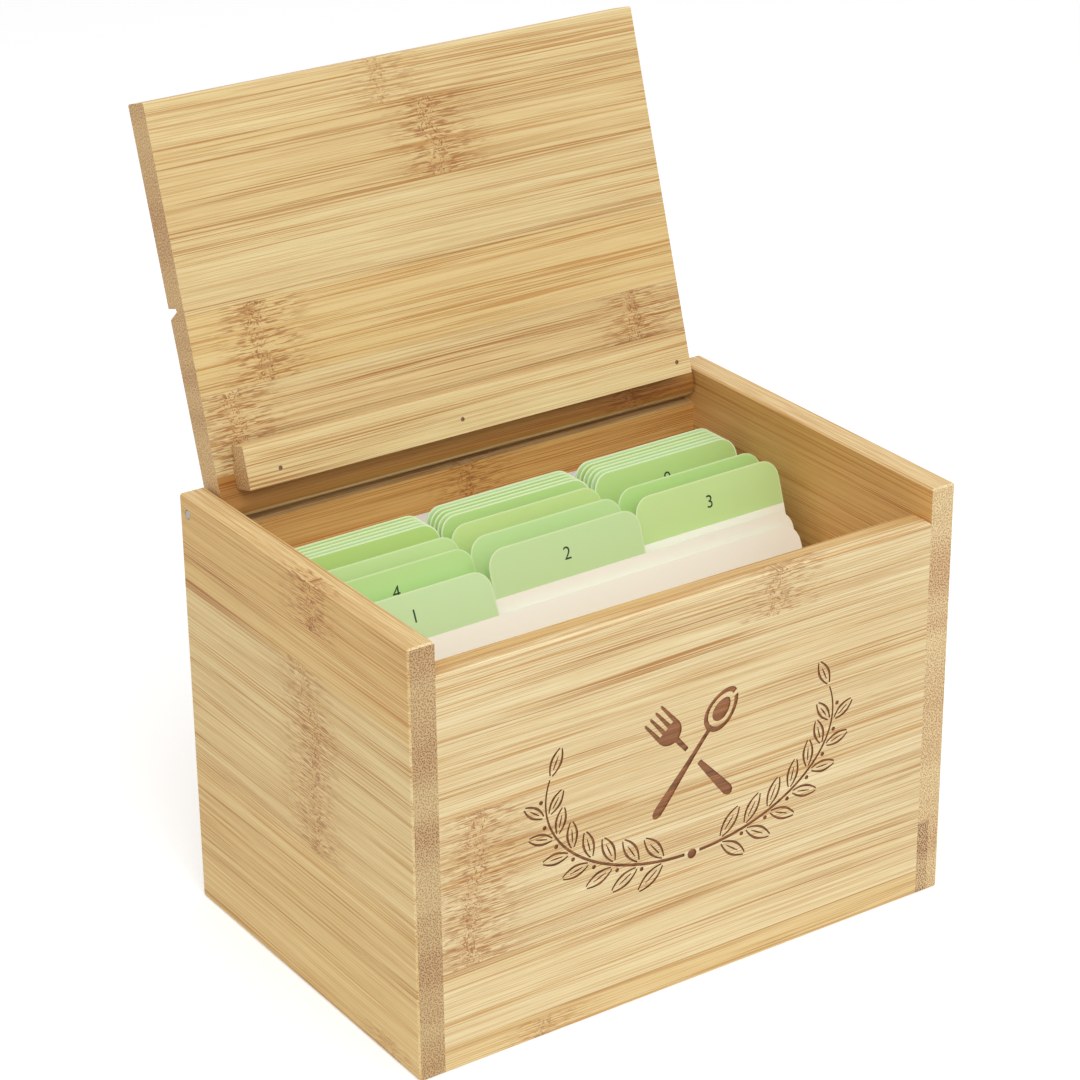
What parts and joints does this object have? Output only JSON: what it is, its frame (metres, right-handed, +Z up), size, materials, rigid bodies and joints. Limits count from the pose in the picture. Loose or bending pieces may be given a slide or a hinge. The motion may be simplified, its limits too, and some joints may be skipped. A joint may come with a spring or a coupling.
{
  "type": "recipe card box",
  "caption": "Bamboo recipe card box with a pinned lid that opens on a stop, a card groove, a ledge inside the lid, tabbed dividers and blank cards.",
  "frame": {"origin": "centre of the box's underside, lid left out of the count", "axes": "+X to the box's right seen from the front, +Y to the back where the lid is hinged, +Z up"},
  "size_m": [0.178, 0.1507, 0.2313],
  "materials": {
    "bamboo": "satin",
    "steel": "satin",
    "divider_card": "matte",
    "card_white": "matte"
  },
  "bodies": {
    "box": {"left_side_panel": "bamboo", "right_side_panel": "bamboo", "front_panel": "bamboo", "back_panel": "bamboo", "bottom_panel": "bamboo", "hinge_pin_left": "steel", "hinge_pin_right": "steel", "recipe_cards": "card_white"},
    "lid": {"lid_panel": "bamboo", "lid_ledge": "bamboo", "ledge_brads": "steel"},
    "divider_01": {"divider_01": "divider_card"},
    "divider_02": {"divider_02": "divider_card"},
    "divider_03": {"divider_03": "divider_card"},
    "divider_04": {"divider_04": "divider_card"},
    "divider_05": {"divider_05": "divider_card"},
    "divider_06": {"divider_06": "divider_card"},
    "divider_07": {"divider_07": "divider_card"},
    "divider_08": {"divider_08": "divider_card"},
    "divider_09": {"divider_09": "divider_card"},
    "divider_10": {"divider_10": "divider_card"},
    "divider_11": {"divider_11": "divider_card"},
    "divider_12": {"divider_12": "divider_card"},
    "divider_13": {"divider_13": "divider_card"},
    "divider_14": {"divider_14": "divider_card"},
    "divider_15": {"divider_15": "divider_card"},
    "divider_16": {"divider_16": "divider_card"},
    "divider_17": {"divider_17": "divider_card"},
    "divider_18": {"divider_18": "divider_card"},
    "divider_19": {"divider_19": "divider_card"},
    "divider_20": {"divider_20": "divider_card"},
    "divider_21": {"divider_21": "divider_card"},
    "divider_22": {"divider_22": "divider_card"},
    "divider_23": {"divider_23": "divider_card"},
    "divider_24": {"divider_24": "divider_card"}
  },
  "joints": [
    {"name": "lid_hinge", "type": "hinge", "parent": "box", "child": "lid", "pos_m": [0, 0.0547, 0.123], "axis": [-1, 0, 0], "range_deg": [-107, 0]},
    {"name": "divider_01_lift", "type": "slide", "parent": "box", "child": "divider_01", "axis": [0, 0, 1], "range_m": [0, 0.128]},
    {"name": "divider_02_lift", "type": "slide", "parent": "box", "child": "divider_02", "axis": [-0.0054, 0.309, 0.9511], "range_m": [0, 0.128]},
    {"name": "divider_03_lift", "type": "slide", "parent": "box", "child": "divider_03", "axis": [-0.0054, 0.309, 0.9511], "range_m": [0, 0.128]},
    {"name": "divider_04_lift", "type": "slide", "parent": "box", "child": "divider_04", "axis": [-0.0054, 0.309, 0.9511], "range_m": [0, 0.128]},
    {"name": "divider_05_lift", "type": "slide", "parent": "box", "child": "divider_05", "axis": [-0.0054, 0.309, 0.9511], "range_m": [0, 0.128]},
    {"name": "divider_06_lift", "type": "slide", "parent": "box", "child": "divider_06", "axis": [-0.0054, 0.309, 0.9511], "range_m": [0, 0.128]},
    {"name": "divider_07_lift", "type": "slide", "parent": "box", "child": "divider_07", "axis": [-0.0054, 0.309, 0.9511], "range_m": [0, 0.128]},
    {"name": "divider_08_lift", "type": "slide", "parent": "box", "child": "divider_08", "axis": [-0.0054, 0.309, 0.9511], "range_m": [0, 0.128]},
    {"name": "divider_09_lift", "type": "slide", "parent": "box", "child": "divider_09", "axis": [-0.0054, 0.309, 0.9511], "range_m": [0, 0.128]},
    {"name": "divider_10_lift", "type": "slide", "parent": "box", "child": "divider_10", "axis": [-0.0054, 0.309, 0.9511], "range_m": [0, 0.128]},
    {"name": "divider_11_lift", "type": "slide", "parent": "box", "child": "divider_11", "axis": [-0.0054, 0.309, 0.9511], "range_m": [0, 0.128]},
    {"name": "divider_12_lift", "type": "slide", "parent": "box", "child": "divider_12", "axis": [-0.0054, 0.309, 0.9511], "range_m": [0, 0.128]},
    {"name": "divider_13_lift", "type": "slide", "parent": "box", "child": "divider_13", "axis": [-0.0054, 0.309, 0.9511], "range_m": [0, 0.128]},
    {"name": "divider_14_lift", "type": "slide", "parent": "box", "child": "divider_14", "axis": [-0.0054, 0.309, 0.9511], "range_m": [0, 0.128]},
    {"name": "divider_15_lift", "type": "slide", "parent": "box", "child": "divider_15", "axis": [-0.0054, 0.309, 0.9511], "range_m": [0, 0.128]},
    {"name": "divider_16_lift", "type": "slide", "parent": "box", "child": "divider_16", "axis": [-0.0054, 0.309, 0.9511], "range_m": [0, 0.128]},
    {"name": "divider_17_lift", "type": "slide", "parent": "box", "child": "divider_17", "axis": [-0.0054, 0.309, 0.9511], "range_m": [0, 0.128]},
    {"name": "divider_18_lift", "type": "slide", "parent": "box", "child": "divider_18", "axis": [-0.0054, 0.309, 0.9511], "range_m": [0, 0.128]},
    {"name": "divider_19_lift", "type": "slide", "parent": "box", "child": "divider_19", "axis": [-0.0054, 0.309, 0.9511], "range_m": [0, 0.128]},
    {"name": "divider_20_lift", "type": "slide", "parent": "box", "child": "divider_20", "axis": [-0.0054, 0.309, 0.9511], "range_m": [0, 0.128]},
    {"name": "divider_21_lift", "type": "slide", "parent": "box", "child": "divider_21", "axis": [-0.0054, 0.309, 0.9511], "range_m": [0, 0.128]},
    {"name": "divider_22_lift", "type": "slide", "parent": "box", "child": "divider_22", "axis": [-0.0054, 0.309, 0.9511], "range_m": [0, 0.128]},
    {"name": "divider_23_lift", "type": "slide", "parent": "box", "child": "divider_23", "axis": [-0.0054, 0.309, 0.9511], "range_m": [0, 0.128]},
    {"name": "divider_24_lift", "type": "slide", "parent": "box", "child": "divider_24", "axis": [-0.0054, 0.309, 0.9511], "range_m": [0, 0.128]}
  ]
}
